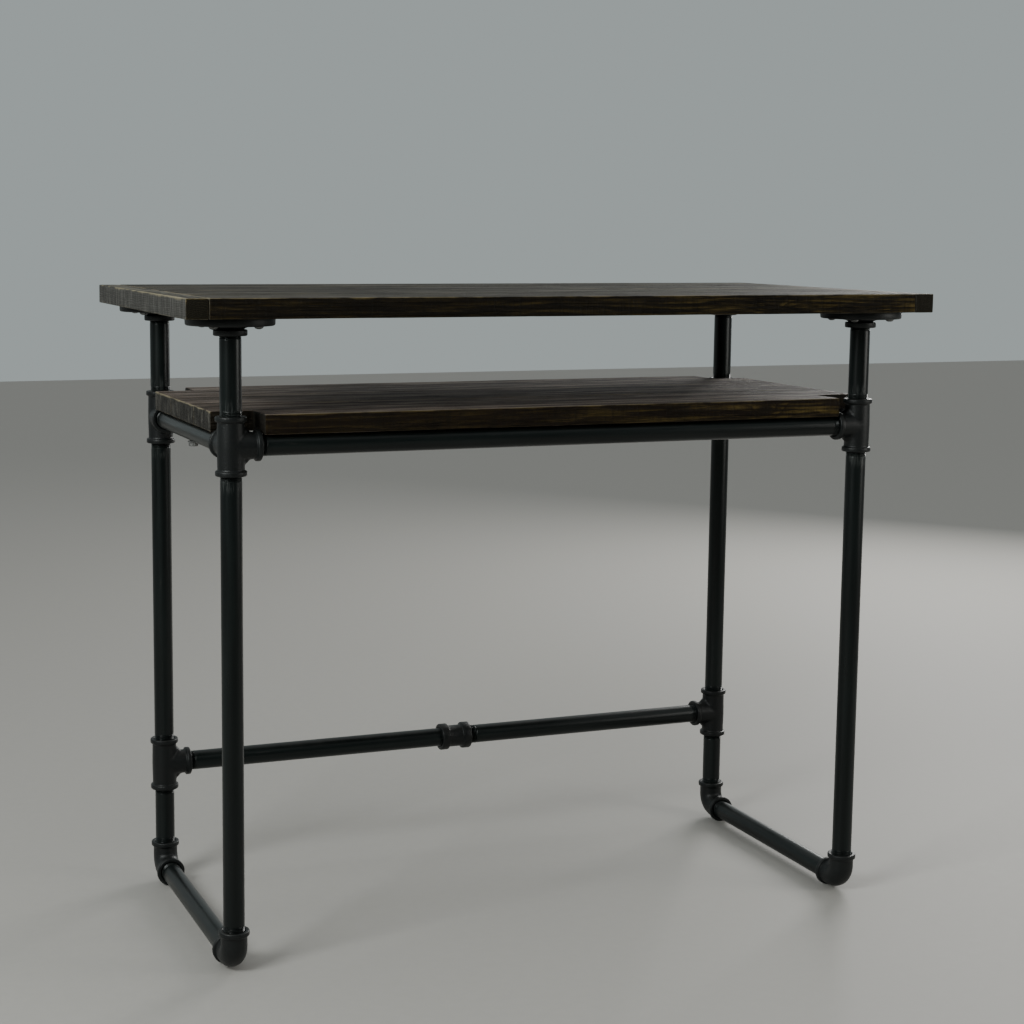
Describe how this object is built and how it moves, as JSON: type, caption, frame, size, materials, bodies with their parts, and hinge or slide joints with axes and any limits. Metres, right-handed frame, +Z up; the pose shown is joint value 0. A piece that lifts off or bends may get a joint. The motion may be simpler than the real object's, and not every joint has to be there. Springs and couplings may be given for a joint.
{
  "type": "pipe-frame desk",
  "caption": "Desk with a dark stained plank top and a plank shelf below it, carried on a frame of black threaded iron pipe and banded cast fittings.",
  "frame": {"origin": "on the floor, under the middle of the top", "axes": "+X along the desk's length, to the right of a person working at it; +Y to the back; +Z up"},
  "size_m": [1.016, 0.508, 0.838],
  "materials": {
    "stained_top_wood": "dark stain over rough-sawn boards, dry satin, worn pale at the edges",
    "stained_end_wood": "dark stain, greyer and more worn than the boards",
    "stained_shelf_wood": "dark stain over wire-brushed boards, dry satin",
    "dowel_wood": "plain birch, unseen inside the joints",
    "black_pipe_steel": "black mill lacquer, soft sheen",
    "cast_fitting_iron": "black cast surface, slightly rough",
    "cast_flange_iron": "black cast surface, slightly rough",
    "zinc_screw_steel": "dull zinc"
  },
  "bodies": {
    "root": {"top_board_1": "stained_top_wood", "top_board_2": "stained_top_wood", "top_board_3": "stained_top_wood", "top_board_4": "stained_top_wood", "top_end_strip_left": "stained_end_wood", "top_end_strip_right": "stained_end_wood", "top_dowels": "dowel_wood", "shelf_board_1": "stained_shelf_wood", "shelf_board_2": "stained_shelf_wood", "shelf_board_3": "stained_shelf_wood", "shelf_dowels": "dowel_wood", "flange_front_left": "cast_flange_iron", "flange_front_right": "cast_flange_iron", "flange_rear_left": "cast_flange_iron", "flange_rear_right": "cast_flange_iron", "flange_screws": "zinc_screw_steel", "post_front_left": "black_pipe_steel", "post_front_right": "black_pipe_steel", "post_rear_left": "black_pipe_steel", "post_rear_right": "black_pipe_steel", "shelf_tee_front_left": "cast_fitting_iron", "shelf_tee_front_right": "cast_fitting_iron", "shelf_tee_rear_left": "cast_fitting_iron", "shelf_tee_rear_right": "cast_fitting_iron", "shelf_rail_front": "black_pipe_steel", "shelf_rail_rear": "black_pipe_steel", "shelf_rail_left": "black_pipe_steel", "shelf_rail_right": "black_pipe_steel", "shelf_lag_screws": "zinc_screw_steel", "leg_front_left": "black_pipe_steel", "leg_front_right": "black_pipe_steel", "leg_rear_left": "black_pipe_steel", "leg_rear_right": "black_pipe_steel", "stretcher_tee_left": "cast_fitting_iron", "stretcher_tee_right": "cast_fitting_iron", "stretcher_pipe_left": "black_pipe_steel", "stretcher_pipe_right": "black_pipe_steel", "stretcher_coupling": "cast_fitting_iron", "leg_stub_rear_left": "black_pipe_steel", "leg_stub_rear_right": "black_pipe_steel", "elbow_front_left": "cast_fitting_iron", "elbow_front_right": "cast_fitting_iron", "elbow_rear_left": "cast_fitting_iron", "elbow_rear_right": "cast_fitting_iron", "base_pipe_left": "black_pipe_steel", "base_pipe_right": "black_pipe_steel"}
  },
  "joints": []
}
